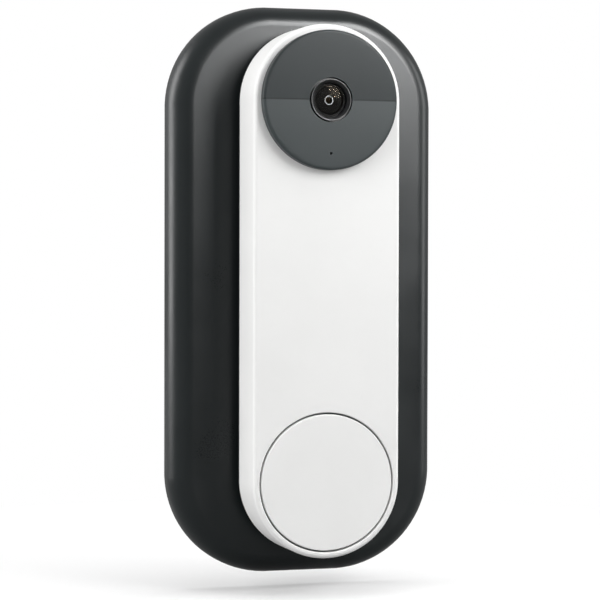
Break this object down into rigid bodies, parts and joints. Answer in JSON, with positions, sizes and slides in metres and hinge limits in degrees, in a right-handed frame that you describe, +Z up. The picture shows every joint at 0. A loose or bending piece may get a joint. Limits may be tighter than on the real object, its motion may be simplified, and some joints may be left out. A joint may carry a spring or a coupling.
{
  "type": "video doorbell",
  "caption": "Battery video doorbell with a round camera disc and a round push button, hung on a bracket over an oversize rounded wall plate.",
  "frame": {"origin": "centre of the wall plate's back face, where it meets the wall", "axes": "+Z up, +Y into the wall, so the camera and button face -Y; +X to the right seen from the front"},
  "size_m": [0.0844, 0.0366, 0.1746],
  "materials": {
    "wall_plate": "fine moulded grain, satin",
    "white_housing": "smooth matte",
    "dark_housing": "fine grain, matte",
    "camera_disc": "smooth satin",
    "black_plastic": "satin",
    "inner_plastic": "matte",
    "lens_glass": "polished, coated",
    "silicone": "matte",
    "black_rubber": "matte",
    "black_foam": "open cell foam",
    "steel": "zinc plated",
    "spring_steel": "rolled",
    "tinned_steel": "tin plated, satin",
    "brass": "turned",
    "circuit_board": "solder resist, satin",
    "chip_resin": "moulded resin",
    "battery_can": "printed film over an aluminium can",
    "flex_film": "polyimide film, satin",
    "light_guide": "smoked, frosted"
  },
  "bodies": {
    "wall_side": {"wall_plate": "wall_plate", "mounting_bracket": "inner_plastic", "bracket_screw_lower": "steel", "bracket_screw_upper": "steel", "release_catch": "spring_steel", "catch_screw": "steel"},
    "doorbell": {"front_shell": "white_housing", "rear_cover": "dark_housing", "housing_seal": "black_rubber", "housing_screw_1": "steel", "housing_screw_2": "steel", "housing_screw_3": "steel", "housing_screw_4": "steel", "camera_disc": "camera_disc", "lens_bezel": "black_plastic", "lens_window": "lens_glass", "window_seal": "black_rubber", "lens_barrel": "black_plastic", "front_lens": "lens_glass", "rear_lens": "lens_glass", "lens_holder": "black_plastic", "image_sensor": "chip_resin", "camera_board": "circuit_board", "led_board": "circuit_board", "infrared_led_left": "light_guide", "infrared_led_right": "light_guide", "motion_sensor": "tinned_steel", "microphone": "tinned_steel", "microphone_gasket": "black_rubber", "inner_frame": "inner_plastic", "battery_pack": "battery_can", "battery_foam": "black_foam", "battery_connector": "white_housing", "battery_lead": "black_rubber", "main_board": "circuit_board", "processor_shield": "tinned_steel", "radio_shield": "tinned_steel", "antenna": "brass", "speaker": "black_plastic", "speaker_duct": "black_foam", "camera_flex": "flex_film", "button_flex": "flex_film", "button_switch": "tinned_steel", "light_ring": "light_guide", "button_seal": "silicone", "button_board": "circuit_board", "ring_led_1": "white_housing", "ring_led_2": "white_housing", "ring_led_3": "white_housing", "ring_led_4": "white_housing", "usb_socket": "tinned_steel", "reset_switch": "chip_resin", "terminal_post_left": "brass", "terminal_post_right": "brass", "terminal_screw_left": "steel", "terminal_screw_right": "steel"},
    "button": {"button_cap": "white_housing", "switch_plunger": "black_plastic"},
    "reset": {"reset_button": "inner_plastic"}
  },
  "joints": [
    {"name": "doorbell_tilt", "type": "hinge", "parent": "wall_side", "child": "doorbell", "pos_m": [0, -0.0135, 0.074], "axis": [-1, 0, 0], "range_deg": [0, 8], "deforming": ["release_catch"]},
    {"name": "button_press", "type": "slide", "parent": "doorbell", "child": "button", "axis": [0, 1, 0], "range_m": [0, 0.0005], "stiffness_N_per_m": 2000, "springref_m": -0.0005, "deforming": ["button_seal"]},
    {"name": "reset_press", "type": "slide", "parent": "doorbell", "child": "reset", "axis": [0, -1, 0], "range_m": [0, 0.0003], "stiffness_N_per_m": 1500, "springref_m": -0.0003}
  ]
}
